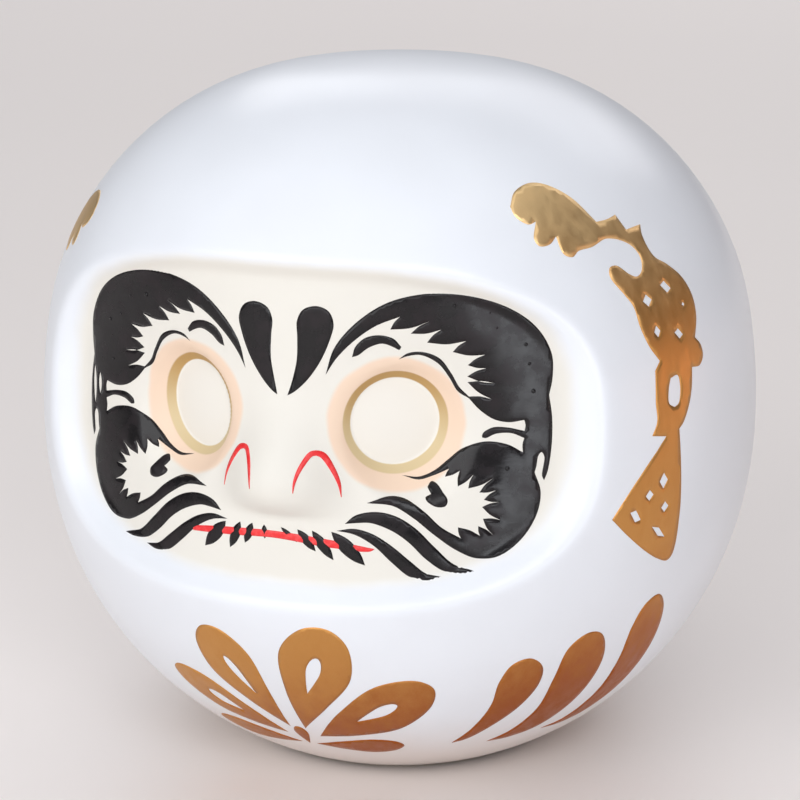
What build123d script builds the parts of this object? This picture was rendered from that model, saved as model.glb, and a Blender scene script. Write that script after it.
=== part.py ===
"""Daruma doll: a hollow round figure of moulded pulp with a sunk face, on a clay weight that rights it.

The shell is moulded in two halves that meet on the plane y = 0, the front one with the face. A paper
strip is pasted over that joint inside and another outside, a paper ring covers the joint between the
shell and the weight, and a card disc closes the underside.

Millimetres. +Z is up, the face looks along -Y, and the origin is the middle of the underside.
"""

from build123d import *
from math import asin, cos, exp, pi, radians, sin, sqrt
import os

# Body: five arcs that run into one another, turned about Z. The crown's radius follows from the rest,
# and the crown comes out 58.4 above the widest plane.
BELLY_DIAMETER = 120.0
BELLY_HEIGHT = 57.5  # table to the widest plane
FOOT_CURVE = 59.0
LOWER_BELLY_CURVE = 68.0
LOWER_BELLY_TURN = 16.3  # degrees
UPPER_BELLY_CURVE = 103.0
UPPER_BELLY_TURN = 9.4
SHOULDER_CURVE = 49.0
SHOULDER_TURN = 73.6
WALL = 1.8

# Face: a panel sunk into the front, curved across and leaning back a little.
FACE_HALF_WIDTH = 43.0
FACE_HALF_HEIGHT = 25.5
FACE_CORNER_POWER = 3.0
FACE_ABOVE_BELLY = 8.5  # widest plane to the middle of the face
FACE_SINK = 7.6  # how far its middle lies behind the belly's front
FACE_CURVE = 55.0  # radius across the face
FACE_LEAN = 0.09  # backward run for each millimetre up
RIM_START = 0.9  # where the face begins to turn out to the body, in shares of its outline
RIM_END = 1.35
RIM_RISE = 14.0
RIM_ROUND = 2.5

# Nose: a soft ridge between the eyes that is proudest just above the nostrils.
NOSE_PROUD = 4.7
NOSE_LOW = -4.5  # heights above the widest plane
NOSE_HIGH = 17.0
NOSE_HALF_WIDTH = 13.0
BRIDGE_HALF_WIDTH = 8.0

# Sockets: the face dips softly round each eye, most of all at the eye's outer side.
SOCKET_SPREAD = 19.5
SOCKET_DEPTH = 3.6
SOCKET_RADIUS = 10.5  # where the dip has eased to about a third

# Eyes: shallow conical wells with a domed blank eyeball as their floor.
EYE_SPREAD = 16.2  # face's middle to the eye's middle
EYE_ABOVE_BELLY = 9.8
EYE_TURN = 28.0  # degrees outwards
EYE_MOUTH_RADIUS = 8.1
EYE_FLOOR_RADIUS = 6.9
EYE_DEPTH = 1.0
EYE_CLEARANCE = 6.0  # how far the cone runs on above the eye's plane, out of the face
EYEBALL_RISE = 0.5
BOSS_BURY = 0.4  # how far the pulp behind an eye starts under the face's skin

# Weight: a clay dish whose rim carries the shell and whose spigot fills the shell's mouth.
SHELL_FOOT = 4.5  # height of the shell's lower edge
WEIGHT_TOP = 14.0
DISH_RADIUS = 25.0
DISH_DEPTH = 3.0
SPIGOT_GAP = 0.25

# Card and paper.
CARD_THICKNESS = 0.8
CARD_MARGIN = 1.5  # weight's lower edge to the card's edge
STRIP_THICKNESS = 0.3
STRIP_HALF_WIDTH = 5.0
RING_REACH = 2.8  # how far the base ring runs above and below the shell's edge
LINING_THICKNESS = 0.5
LINING_HALF_WIDTH = 7.0
PASTE_GAP = 0.05

FACE_GRID_STEP = 2.5
REACH = 5 * BELLY_DIAMETER  # larger than the doll, for cutting blocks


def body_arcs(inset, floor):
    """The outline's arcs from the height floor up to the crown, inset behind the outer skin.

    Each is (centre's distance from the axis, centre's height, radius, first angle, last angle).
    """
    lower_turn, upper_turn = radians(LOWER_BELLY_TURN), radians(UPPER_BELLY_TURN)
    crown_start = upper_turn + radians(SHOULDER_TURN)
    lower_x = BELLY_DIAMETER / 2 - LOWER_BELLY_CURVE
    foot_x = lower_x + (LOWER_BELLY_CURVE - FOOT_CURVE) * cos(lower_turn)
    foot_z = BELLY_HEIGHT - (LOWER_BELLY_CURVE - FOOT_CURVE) * sin(lower_turn)
    upper_x = BELLY_DIAMETER / 2 - UPPER_BELLY_CURVE
    shoulder_x = upper_x + (UPPER_BELLY_CURVE - SHOULDER_CURVE) * cos(upper_turn)
    shoulder_z = BELLY_HEIGHT + (UPPER_BELLY_CURVE - SHOULDER_CURVE) * sin(upper_turn)
    back_to_axis = shoulder_x / cos(crown_start)
    crown_z = shoulder_z - back_to_axis * sin(crown_start)
    foot_start = asin((floor - foot_z) / (FOOT_CURVE - inset))
    return [
        (foot_x, foot_z, FOOT_CURVE - inset, foot_start, -lower_turn),
        (lower_x, BELLY_HEIGHT, LOWER_BELLY_CURVE - inset, -lower_turn, 0),
        (upper_x, BELLY_HEIGHT, UPPER_BELLY_CURVE - inset, 0, upper_turn),
        (shoulder_x, shoulder_z, SHOULDER_CURVE - inset, upper_turn, crown_start),
        (0, crown_z, SHOULDER_CURVE + back_to_axis - inset, crown_start, pi / 2),
    ]


def body(inset, floor, turn=360):
    """The body above the height floor, inset behind the outer skin; a turn of 180 is its front half."""
    edges = []
    for centre_x, centre_z, radius, first, last in body_arcs(inset, floor):
        ends = [
            (-centre_x - radius * cos(angle), 0, centre_z + radius * sin(angle))
            for angle in (first, (first + last) / 2, last)
        ]
        edges.append(ThreePointArc(*ends))
    start, end = edges[0] @ 0, edges[-1] @ 1
    edges.append(Line(end, (0, 0, floor)))
    edges.append(Line((0, 0, floor), start))
    return revolve(Face(Wire(edges)), Axis.Z, turn)


def below(height):
    return Pos(0, 0, height) * Box(REACH, REACH, REACH, align=(Align.CENTER, Align.CENTER, Align.MAX))


def above(height):
    return Pos(0, 0, height) * Box(REACH, REACH, REACH, align=(Align.CENTER, Align.CENTER, Align.MIN))


def between(low, high):
    align = (Align.CENTER, Align.CENTER, Align.MIN)
    return Pos(0, 0, low) * Box(REACH, REACH, high - low, align=align)


def along_joint(half_width, low):
    """A slab over the joint, from the height low upwards."""
    align = (Align.CENTER, Align.CENTER, Align.MIN)
    return Pos(0, 0, low) * Box(REACH, 2 * half_width, REACH, align=align)


def ease(share):
    """0 before 0, 1 after 1, and a smooth rise between."""
    share = min(1.0, max(0.0, share))
    return share * share * (3 - 2 * share)


def face_outline_share(across, height):
    """1 on the face's outline, less inside it and more outside."""
    wide = (abs(across) / FACE_HALF_WIDTH) ** FACE_CORNER_POWER
    tall = (abs(height - FACE_ABOVE_BELLY) / FACE_HALF_HEIGHT) ** FACE_CORNER_POWER
    return (wide + tall) ** (1 / FACE_CORNER_POWER)


def nose_rise(across, height):
    share = (height - NOSE_LOW) / (NOSE_HIGH - NOSE_LOW)
    half_width = NOSE_HALF_WIDTH + (BRIDGE_HALF_WIDTH - NOSE_HALF_WIDTH) * share
    if not 0 < share < 1 or abs(across) >= half_width:
        return 0.0
    return NOSE_PROUD * sin(pi * sqrt(share)) ** 2 * cos(pi / 2 * across / half_width) ** 2


def socket_dip(across, height):
    from_socket_x, from_socket_z = abs(across) - SOCKET_SPREAD, height - EYE_ABOVE_BELLY
    return SOCKET_DEPTH * exp(-(from_socket_x**2 + from_socket_z**2) / SOCKET_RADIUS**2)


def bare_reach(across, height):
    """How far the face lies in front of the axis without its nose; height is above the widest plane."""
    middle = BELLY_DIAMETER / 2 - FACE_SINK - FACE_LEAN * (height - FACE_ABOVE_BELLY)
    rim = (face_outline_share(across, height) - RIM_START) / (RIM_END - RIM_START)
    return middle - across**2 / (2 * FACE_CURVE) - socket_dip(across, height) + RIM_RISE * ease(rim)


def face_reach(across, height):
    return bare_reach(across, height) + nose_rise(across, height)


def skin_point(across, height):
    return (across, -face_reach(across, height), BELLY_HEIGHT + height)


def buried_point(across, height, depth):
    """The point at a depth behind the bare face, measured square to it."""
    step = FACE_GRID_STEP / 10
    slope_x = (bare_reach(across + step, height) - bare_reach(across - step, height)) / (2 * step)
    slope_z = (bare_reach(across, height + step) - bare_reach(across, height - step)) / (2 * step)
    share = depth / sqrt(1 + slope_x**2 + slope_z**2)
    back = share - bare_reach(across, height)
    return (across + slope_x * share, back, BELLY_HEIGHT + height + slope_z * share)


def steps_between(low, high):
    count = max(8, round((high - low) / FACE_GRID_STEP))
    return [low + (high - low) * step / count for step in range(count + 1)]


def face_press(depth=0):
    """One block of all that lies in front of the face, or of the surface at a depth behind it.

    The nose is solid pulp, so only the face itself has it.
    """
    half_width, half_height = FACE_HALF_WIDTH * RIM_END, FACE_HALF_HEIGHT * RIM_END
    columns = steps_between(-half_width, half_width)
    heights = steps_between(FACE_ABOVE_BELLY - half_height, FACE_ABOVE_BELLY + half_height)
    if depth:
        rows = [[buried_point(across, height, depth) for across in columns] for height in heights]
    else:
        rows = [[skin_point(across, height) for across in columns] for height in heights]
    surface = Face.make_surface_from_array_of_points(rows, tol=0.01)
    return extrude(surface, amount=BELLY_DIAMETER, dir=(0, -1, 0))


def eye_plane(side):
    """Plane on the face at an eye, looking out of it; side is -1 or 1."""
    reach = face_reach(EYE_SPREAD, EYE_ABOVE_BELLY)
    turn = radians(EYE_TURN)
    return Plane(
        origin=(side * EYE_SPREAD, -reach, BELLY_HEIGHT + EYE_ABOVE_BELLY),
        x_dir=(cos(turn), side * sin(turn), 0),
        z_dir=(side * sin(turn), -cos(turn), 0),
    )


def eye_boss(side):
    """Pulp behind an eye, starting just under the face's skin."""
    boss = Cylinder(EYE_MOUTH_RADIUS + WALL, 2 * (EYE_DEPTH + WALL))
    return eye_plane(side) * boss - face_press(BOSS_BURY)


def eye_well(side):
    """The hollow of an eye: a cone that narrows to the floor, less the domed eyeball on it."""
    flare = (EYE_MOUTH_RADIUS - EYE_FLOOR_RADIUS) / EYE_DEPTH
    cone = Pos(0, 0, -EYE_DEPTH) * Cone(
        EYE_FLOOR_RADIUS,
        EYE_MOUTH_RADIUS + flare * EYE_CLEARANCE,
        EYE_DEPTH + EYE_CLEARANCE,
        align=(Align.CENTER, Align.CENTER, Align.MIN),
    )
    ball_radius = (EYE_FLOOR_RADIUS**2 + EYEBALL_RISE**2) / (2 * EYEBALL_RISE)
    ball = Pos(0, 0, EYEBALL_RISE - EYE_DEPTH - ball_radius) * Sphere(ball_radius)
    return eye_plane(side) * (cone - ball)


def paper_rebates():
    """Room for the outer paper: a band along the joint and a ring at the shell's edge."""
    kept = body(STRIP_THICKNESS + PASTE_GAP, 0)
    band = along_joint(STRIP_HALF_WIDTH + PASTE_GAP, SHELL_FOOT)
    reach = RING_REACH + PASTE_GAP
    return (band + between(SHELL_FOOT - reach, SHELL_FOOT + reach)) - kept


def make_front_shell():
    pressed = body(0, SHELL_FOOT, 180) - face_press()
    face = pressed.faces().filter_by(GeomType.BSPLINE)[0]
    cavity = body(WALL, SHELL_FOOT, 180) - face_press(WALL)
    shell = fillet(face.edges(), RIM_ROUND) - cavity
    for side in (-1, 1):
        shell = shell + eye_boss(side) - eye_well(side)
    return shell - paper_rebates()


def make_rear_shell():
    half = body(0, SHELL_FOOT, 180) - body(WALL, SHELL_FOOT, 180)
    return Rot(0, 0, 180) * half - paper_rebates()


def make_inner_joint_strip():
    outer_skin = WALL + PASTE_GAP
    strip = body(outer_skin, SHELL_FOOT) - body(outer_skin + LINING_THICKNESS, SHELL_FOOT)
    return strip & along_joint(LINING_HALF_WIDTH, WEIGHT_TOP + LINING_THICKNESS)


def make_outer_joint_strip():
    strip = body(0, SHELL_FOOT) - body(STRIP_THICKNESS, SHELL_FOOT)
    return strip & along_joint(STRIP_HALF_WIDTH, SHELL_FOOT + RING_REACH + PASTE_GAP)


def make_base_joint_ring():
    skin = body(0, CARD_THICKNESS) - body(STRIP_THICKNESS, CARD_THICKNESS)
    return skin & between(SHELL_FOOT - RING_REACH, SHELL_FOOT + RING_REACH)


def make_base_weight():
    skirt = body(0, CARD_THICKNESS) & below(SHELL_FOOT)
    spigot = body(WALL + SPIGOT_GAP, SHELL_FOOT) & below(WEIGHT_TOP)
    ball_radius = (DISH_RADIUS**2 + DISH_DEPTH**2) / (2 * DISH_DEPTH)
    dish = Pos(0, 0, WEIGHT_TOP - DISH_DEPTH + ball_radius) * Sphere(ball_radius)
    return skirt + spigot - dish - paper_rebates()


def make_base_card():
    centre_x, centre_z, radius, first, _ = body_arcs(0, CARD_THICKNESS)[0]
    card_radius = centre_x + radius * cos(first) - CARD_MARGIN
    return Cylinder(card_radius, CARD_THICKNESS, align=(Align.CENTER, Align.CENTER, Align.MIN))


PIECES = {
    "front_shell": make_front_shell,
    "rear_shell": make_rear_shell,
    "inner_joint_strip": make_inner_joint_strip,
    "outer_joint_strip": make_outer_joint_strip,
    "base_joint_ring": make_base_joint_ring,
    "base_weight": make_base_weight,
    "base_card": make_base_card,
}

os.makedirs("parts", exist_ok=True)
for name, make in PIECES.items():
    export_step(make(), f"parts/{name}.step")
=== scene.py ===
import math

import bmesh
import bpy
import numpy as np
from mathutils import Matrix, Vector, noise
from mathutils.geometry import delaunay_2d_cdt


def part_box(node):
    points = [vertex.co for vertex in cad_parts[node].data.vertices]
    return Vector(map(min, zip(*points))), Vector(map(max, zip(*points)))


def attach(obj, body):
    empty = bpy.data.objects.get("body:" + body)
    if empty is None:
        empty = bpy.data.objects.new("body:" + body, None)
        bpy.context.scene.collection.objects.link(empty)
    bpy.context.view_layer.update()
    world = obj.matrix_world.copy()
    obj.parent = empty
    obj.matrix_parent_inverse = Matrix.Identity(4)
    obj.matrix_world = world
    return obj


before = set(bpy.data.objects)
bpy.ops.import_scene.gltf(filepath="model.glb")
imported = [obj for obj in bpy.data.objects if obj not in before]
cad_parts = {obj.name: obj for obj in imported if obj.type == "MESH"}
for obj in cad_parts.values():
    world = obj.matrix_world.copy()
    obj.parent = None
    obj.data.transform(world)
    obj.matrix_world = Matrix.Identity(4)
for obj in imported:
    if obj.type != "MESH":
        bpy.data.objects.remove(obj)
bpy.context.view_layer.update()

# ---------------------------------------------------------------------------------------------------
# Pulp shells. Two halves of moulded paper pulp, edge to edge on the plane y = 0. They are bare,
# grey-brown and fibrous inside, and the paint hides them outside. Their shape is the CAD's own.

MM = 0.001
PULP_BROWN = (0.36, 0.29, 0.21, 1)
PULP_GREY = (0.47, 0.42, 0.35, 1)
FIBRE_DARK = (0.24, 0.18, 0.12, 1)
CLUMP_SIZE, FIBRE_SIZE, PULP_RELIEF = 7.0, 0.8, 0.35


class Value:
    """One output socket of a material's nodes, which can be added, multiplied and compared."""

    def __init__(self, paint, socket):
        self.paint, self.socket = paint, socket

    def _maths(self, operation, *others):
        inputs = {number: other for number, other in enumerate(others)}
        return self.paint.node("ShaderNodeMath", {"operation": operation}, inputs)

    def __add__(self, other):
        return self._maths("ADD", self, other)

    def __radd__(self, other):
        return self._maths("ADD", other, self)

    def __sub__(self, other):
        return self._maths("SUBTRACT", self, other)

    def __rsub__(self, other):
        return self._maths("SUBTRACT", other, self)

    def __mul__(self, other):
        return self._maths("MULTIPLY", self, other)

    def __rmul__(self, other):
        return self._maths("MULTIPLY", other, self)

    def __truediv__(self, other):
        return self._maths("DIVIDE", self, other)

    def __pow__(self, other):
        return self._maths("POWER", self, other)

    def __abs__(self):
        return self._maths("ABSOLUTE", self)

    def ramp(self, start, end, low=0.0, high=1.0):
        """A smooth run from low at start to high at end."""
        settings = {"interpolation_type": "SMOOTHSTEP"}
        sockets = {"Value": self, "From Min": start, "From Max": end, "To Min": low, "To Max": high}
        return self.paint.node("ShaderNodeMapRange", settings, sockets, "Result")


class Paint:
    """A material and the nodes behind its surface."""

    def __init__(self, name, **fixed):
        self.material = bpy.data.materials.new(name)
        self.material.use_nodes = True
        self.tree = self.material.node_tree
        self.surface = self.tree.nodes["Principled BSDF"]
        for socket, value in fixed.items():
            self.surface.inputs[socket.replace("_", " ")].default_value = value
        self.place = self.node("ShaderNodeTexCoord", {}, {}, "Object")

    def node(self, kind, settings, sockets, output=0):
        """Adds a node, its settings first and then its sockets' values or links."""
        node = self.tree.nodes.new(kind)
        for name, value in settings.items():
            setattr(node, name, value)
        for name, value in sockets.items():
            if isinstance(value, Value):
                self.tree.links.new(value.socket, node.inputs[name])
            else:
                node.inputs[name].default_value = value
        return Value(self, node.outputs[output])

    def feed(self, **sockets):
        for name, value in sockets.items():
            self.tree.links.new(value.socket, self.surface.inputs[name.replace("_", " ")])

    def axes(self):
        """The place's three coordinates in millimetres."""
        wide = self.scaled(1 / MM)
        return [self.node("ShaderNodeSeparateXYZ", {}, {0: wide}, name) for name in "XYZ"]

    def scaled(self, factor):
        return self.node("ShaderNodeVectorMath", {"operation": "SCALE"}, {0: self.place, "Scale": factor})

    def stretched(self, factors):
        """The place in millimetres, times a factor for each axis."""
        factors = tuple(factor / MM for factor in factors)
        return self.node("ShaderNodeVectorMath", {"operation": "MULTIPLY"}, {0: self.place, 1: factors})

    def noise(self, size, detail=3.0, roughness=0.55, place=None, seed=0.0):
        """Cloudy variation about 0.5, with marks of about that size in millimetres."""
        place = place or self.scaled(1 / MM)
        sockets = {"Vector": place, "W": seed, "Scale": 1 / size, "Detail": detail, "Roughness": roughness}
        return self.node("ShaderNodeTexNoise", {"noise_dimensions": "4D"}, sockets, "Fac")

    def blend(self, share, start, end):
        """A colour between two, by a share from 0 to 1."""
        settings = {"data_type": "RGBA", "clamp_factor": True}
        return self.node("ShaderNodeMix", settings, {0: share, 6: start, 7: end}, 2)

    def bump(self, height, depth, strength=1.0, below=None):
        """Relief from a height of 0 to 1 that stands for a depth in millimetres."""
        sockets = {"Height": height, "Distance": depth * MM, "Strength": strength}
        if below:
            sockets["Normal"] = below
        return self.node("ShaderNodeBump", {}, sockets, "Normal")


def dress_cad_node(name, paint):
    """Puts a material on a CAD node that is shown as it is."""
    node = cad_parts[name]
    for slot in node.material_slots:
        slot.link = "DATA"
        slot.material = paint.material


pulp = Paint("bare_pulp", Roughness=0.9)
clumps = pulp.noise(CLUMP_SIZE, detail=6)
fibres = pulp.noise(FIBRE_SIZE, detail=4, place=pulp.stretched((1, 1, 0.35)))
pulp_colour = pulp.blend(clumps.ramp(0.35, 0.65), PULP_BROWN, PULP_GREY)
pulp_colour = pulp.blend(fibres.ramp(0.56, 0.7) * 0.6, pulp_colour, FIBRE_DARK)
pulp.feed(
    Base_Color=pulp_colour,
    Roughness=fibres.ramp(0.3, 0.7, 0.8, 0.96),
    Normal=pulp.bump(fibres + clumps, PULP_RELIEF, 0.7),
)
dress_cad_node("front_shell", pulp)
dress_cad_node("rear_shell", pulp)

# ---------------------------------------------------------------------------------------------------
# Paper strips. Brown kraft lines the joint inside; thin white paper covers it outside, and a ring of
# the same paper goes round the foot. All are torn from sheet, wetted with paste and laid on by hand.

KRAFT = (0.50, 0.35, 0.20, 1)
KRAFT_DARK = (0.36, 0.24, 0.13, 1)
WHITE_PAPER = (0.80, 0.78, 0.72, 1)
WHITE_PAPER_DARK = (0.66, 0.62, 0.54, 1)
PAPER_FIBRE_SIZE, WRINKLE_SIZE, PAPER_RELIEF = 1.2, 5.0, 0.2


def paper(name, light, dark):
    sheet = Paint(name, Roughness=0.85)
    long_fibres = sheet.noise(PAPER_FIBRE_SIZE, detail=5, place=sheet.stretched((0.3, 1.2, 1)))
    wrinkles = sheet.noise(WRINKLE_SIZE, detail=2)
    colour = sheet.blend(long_fibres.ramp(0.4, 0.62), light, dark)
    relief = sheet.bump(wrinkles * 0.7 + long_fibres * 0.3, PAPER_RELIEF, 0.6)
    sheet.feed(Base_Color=colour, Roughness=wrinkles.ramp(0.3, 0.7, 0.75, 0.92), Normal=relief)
    return sheet


dress_cad_node("inner_joint_strip", paper("kraft_paper", KRAFT, KRAFT_DARK))
joint_paper = paper("joint_paper", WHITE_PAPER, WHITE_PAPER_DARK)
dress_cad_node("outer_joint_strip", joint_paper)
dress_cad_node("base_joint_ring", joint_paper)

# ---------------------------------------------------------------------------------------------------
# Clay weight and base card. The weight is pressed in a dish mould from clay and glue and dried in
# air. The card is a punched disc of grey-brown board, glued under it, scuffed at the edge by use.

DRY_CLAY = (0.46, 0.33, 0.22, 1)
DRY_CLAY_PALE = (0.58, 0.47, 0.35, 1)
BOARD = (0.43, 0.33, 0.22, 1)
BOARD_SPECK = (0.24, 0.17, 0.11, 1)
BOARD_SCUFF = (0.60, 0.51, 0.39, 1)
GRIT_SIZE, SMEAR_SIZE, CLAY_RELIEF = 0.9, 9.0, 0.3
SPECK_SIZE, SCUFF_SIZE, BOARD_RELIEF = 0.7, 3.0, 0.15
SCUFF_START = 0.82

clay = Paint("dried_clay", Roughness=0.85)
grit = clay.noise(GRIT_SIZE, detail=5)
smears = clay.noise(SMEAR_SIZE, detail=4, seed=2.0)
clay.feed(
    Base_Color=clay.blend(smears.ramp(0.35, 0.65), DRY_CLAY, DRY_CLAY_PALE),
    Roughness=grit.ramp(0.3, 0.7, 0.75, 0.95),
    Normal=clay.bump(grit * 0.6 + smears * 0.4, CLAY_RELIEF, 0.8),
)
dress_cad_node("base_weight", clay)

_, card_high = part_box("base_card")
card_radius = card_high.x / MM

board = Paint("board", Roughness=0.9)
board_x, board_y, _ = board.axes()
from_middle = (board_x * board_x + board_y * board_y) ** 0.5
specks = board.noise(SPECK_SIZE, detail=4)
scuffs = board.noise(SCUFF_SIZE, detail=5, seed=4.0)
worn = (from_middle / card_radius).ramp(SCUFF_START, 1.0) * scuffs.ramp(0.42, 0.6)
board_colour = board.blend(specks.ramp(0.58, 0.68) * 0.7, BOARD, BOARD_SPECK)
board.feed(
    Base_Color=board.blend(worn, board_colour, BOARD_SCUFF),
    Roughness=specks.ramp(0.3, 0.7, 0.82, 0.95),
    Normal=board.bump(specks * 0.5 + scuffs * 0.5, BOARD_RELIEF, 0.7),
)
dress_cad_node("base_card", board)

# ---------------------------------------------------------------------------------------------------
# Painted coat. White lacquer over the whole shell, thick enough to hide the pulp and the strips, with a
# painted warm reflection towards the foot. The face is sprayed cream, with a peach halo and an ochre
# well round each blank, domed eyeball, painted darker at the top of the well as painted shade.

BELLY_RADIUS = 60.0
BELLY_HEIGHT = 57.5
FOOT_CURVE = 59.0
LOWER_BELLY_CURVE = 68.0
UPPER_BELLY_CURVE = 103.0
SHOULDER_CURVE = 49.0
LOWER_BELLY_TURN = math.radians(16.3)
UPPER_BELLY_TURN = math.radians(9.4)
CROWN_TURN = math.radians(83.0)

FACE_HALF_WIDTH = 43.0
FACE_HALF_HEIGHT = 25.5
FACE_MIDDLE = BELLY_HEIGHT + 8.5
FACE_REACH = BELLY_RADIUS - 7.6
FACE_CURVE = 55.0
FACE_LEAN = 0.09
RIM_START, RIM_END, RIM_RISE = 0.9, 1.35, 14.0
CREASE_ROUND = 2.0

NOSE_LOW, NOSE_HIGH, NOSE_PROUD = BELLY_HEIGHT - 4.5, BELLY_HEIGHT + 17.0, 4.7
NOSE_HALF_WIDTH, BRIDGE_HALF_WIDTH, NOSE_FOOT_ROUND = 13.0, 8.0, 1.8
NOSE_FOOT_SHARE = 0.2
NOSTRIL_SPREAD, NOSTRIL_HEIGHT, NOSTRIL_PROUD, NOSTRIL_SIZE = 5.6, BELLY_HEIGHT + 1.2, 0.6, 3.0

SOCKET_SPREAD, SOCKET_DEPTH, SOCKET_RADIUS = 19.5, 3.6, 10.5
EYE_SPREAD = 16.2
EYE_HEIGHT = BELLY_HEIGHT + 9.8
EYE_TURN = math.radians(28.0)
WELL_RADIUS, WELL_FLOOR_RADIUS, WELL_DEPTH = 8.1, 6.9, 1.0
EYEBALL_RISE = 0.5
LID_RADIUS, LID_WIDTH, LID_PROUD = 9.4, 1.5, 0.3
LID_ROUND, GROOVE_ROUND, LID_BLEND_RADIUS = 0.5, 0.3, 14.5

COAT_PROUD = 0.4
COAT_THICKNESS = 0.3
POINTS_PER_ARC = 600
EYE_PASSES = 12


def body_outline(first_height):
    """Distances from the axis, heights and the run along the outline, from the foot to the crown."""
    lower_x = BELLY_RADIUS - LOWER_BELLY_CURVE
    foot_gap = LOWER_BELLY_CURVE - FOOT_CURVE
    foot_x = lower_x + foot_gap * math.cos(LOWER_BELLY_TURN)
    foot_z = BELLY_HEIGHT - foot_gap * math.sin(LOWER_BELLY_TURN)
    upper_x = BELLY_RADIUS - UPPER_BELLY_CURVE
    shoulder_gap = UPPER_BELLY_CURVE - SHOULDER_CURVE
    shoulder_x = upper_x + shoulder_gap * math.cos(UPPER_BELLY_TURN)
    shoulder_z = BELLY_HEIGHT + shoulder_gap * math.sin(UPPER_BELLY_TURN)
    back = shoulder_x / math.cos(CROWN_TURN)
    first_turn = math.asin((first_height - foot_z) / FOOT_CURVE)
    arcs = [
        (foot_x, foot_z, FOOT_CURVE, first_turn, -LOWER_BELLY_TURN),
        (lower_x, BELLY_HEIGHT, LOWER_BELLY_CURVE, -LOWER_BELLY_TURN, 0),
        (upper_x, BELLY_HEIGHT, UPPER_BELLY_CURVE, 0, UPPER_BELLY_TURN),
        (shoulder_x, shoulder_z, SHOULDER_CURVE, UPPER_BELLY_TURN, CROWN_TURN),
        (0, shoulder_z - back * math.sin(CROWN_TURN), SHOULDER_CURVE + back, CROWN_TURN, math.pi / 2),
    ]
    radii, heights = [], []
    for centre_x, centre_z, curve, first, last in arcs:
        turns = np.linspace(first, last, POINTS_PER_ARC, endpoint=last == math.pi / 2)
        radii.append(centre_x + curve * np.cos(turns))
        heights.append(centre_z + curve * np.sin(turns))
    radii, heights = np.concatenate(radii), np.concatenate(heights)
    run = np.concatenate([[0], np.cumsum(np.hypot(np.diff(radii), np.diff(heights)))])
    return radii, heights, run


outline_radii, outline_heights, outline_run = body_outline(card_high.z / MM)


def radius_at(height):
    return np.interp(height, outline_heights, outline_radii)


def ease(share):
    share = np.clip(share, 0, 1)
    return share * share * (3 - 2 * share)


def eye_distance(x, z):
    """Distance from the nearer eye's middle, measured across the eye."""
    return np.hypot((np.abs(x) - EYE_SPREAD) / math.cos(EYE_TURN), z - EYE_HEIGHT)


def bare_face_reach(x, z):
    """How far the face lies in front of the axis, with its nose and before the eyes are sunk."""
    wide, tall = np.abs(x) / FACE_HALF_WIDTH, np.abs(z - FACE_MIDDLE) / FACE_HALF_HEIGHT
    rim = ((wide**3 + tall**3) ** (1 / 3) - RIM_START) / (RIM_END - RIM_START)
    reach = FACE_REACH - FACE_LEAN * (z - FACE_MIDDLE) - x**2 / (2 * FACE_CURVE) + RIM_RISE * ease(rim)
    from_socket = np.hypot(np.abs(x) - SOCKET_SPREAD, z - EYE_HEIGHT) / SOCKET_RADIUS
    reach = reach - SOCKET_DEPTH * np.exp(-(from_socket**2))
    up = (z - NOSE_LOW) / (NOSE_HIGH - NOSE_LOW)
    share = np.clip(up, 0, 1)
    half_width = NOSE_HALF_WIDTH + (BRIDGE_HALF_WIDTH - NOSE_HALF_WIDTH) * share
    across = np.clip(np.abs(x) / half_width, 0, 1)
    rise = NOSE_PROUD * np.where(up > 0, np.sin(math.pi * np.sqrt(share)) ** 2, math.pi**2 * up)
    kept = np.clip(0.5 + 0.5 * rise / NOSE_FOOT_ROUND, 0, 1)
    rise = np.where(up < NOSE_FOOT_SHARE, rise * kept + NOSE_FOOT_ROUND * kept * (1 - kept), rise)
    reach = reach + rise * np.cos(math.pi / 2 * across) ** 2
    nostril = np.hypot(np.abs(x) - NOSTRIL_SPREAD, z - NOSTRIL_HEIGHT) / NOSTRIL_SIZE
    return reach + NOSTRIL_PROUD * np.exp(-(nostril**2))


def well_height(distance):
    """Height over an eye's plane of its conical wall and domed ball, with a rounded groove between."""
    wall = (distance - WELL_RADIUS) * WELL_DEPTH / (WELL_RADIUS - WELL_FLOOR_RADIUS)
    ball = EYEBALL_RISE * (1 - (distance / WELL_FLOOR_RADIUS) ** 2) - WELL_DEPTH
    share = np.clip(0.5 + 0.5 * (wall - ball) / GROOVE_ROUND, 0, 1)
    return wall * share + ball * (1 - share) + GROOVE_ROUND * share * (1 - share)


def eye_reach(x, z):
    """How far the nearer eye's well and ball lie in front of the axis."""
    across = np.abs(x) - EYE_SPREAD
    height = np.zeros_like(across + z)
    for _ in range(EYE_PASSES):
        along = across / math.cos(EYE_TURN) - height * math.tan(EYE_TURN)
        height = well_height(np.hypot(along, z - EYE_HEIGHT))
    middle_reach = bare_face_reach(np.array(EYE_SPREAD), np.array(EYE_HEIGHT))
    return middle_reach - across * math.tan(EYE_TURN) + height / math.cos(EYE_TURN)


def face_reach(x, z):
    lid = (eye_distance(x, z) - LID_RADIUS) / LID_WIDTH
    skin = bare_face_reach(x, z) + LID_PROUD * np.exp(-(lid**2))
    eye = eye_reach(x, z)
    share = np.clip(0.5 + 0.5 * (skin - eye) / LID_ROUND, 0, 1)
    sunk = eye * share + skin * (1 - share) - LID_ROUND * share * (1 - share)
    return np.where(eye_distance(x, z) < LID_BLEND_RADIUS, sunk, skin)


def pressed(x, y, z):
    """The depth y of the body's surface once the face is pressed into it, with a rounded crease."""
    gap = face_reach(x, z) + y
    share = np.clip(0.5 + 0.5 * gap / CREASE_ROUND, 0, 1)
    front = face_reach(x, z) * (1 - share) - y * share - CREASE_ROUND * share * (1 - share)
    return np.where(y < 0, -front, y)


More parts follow.
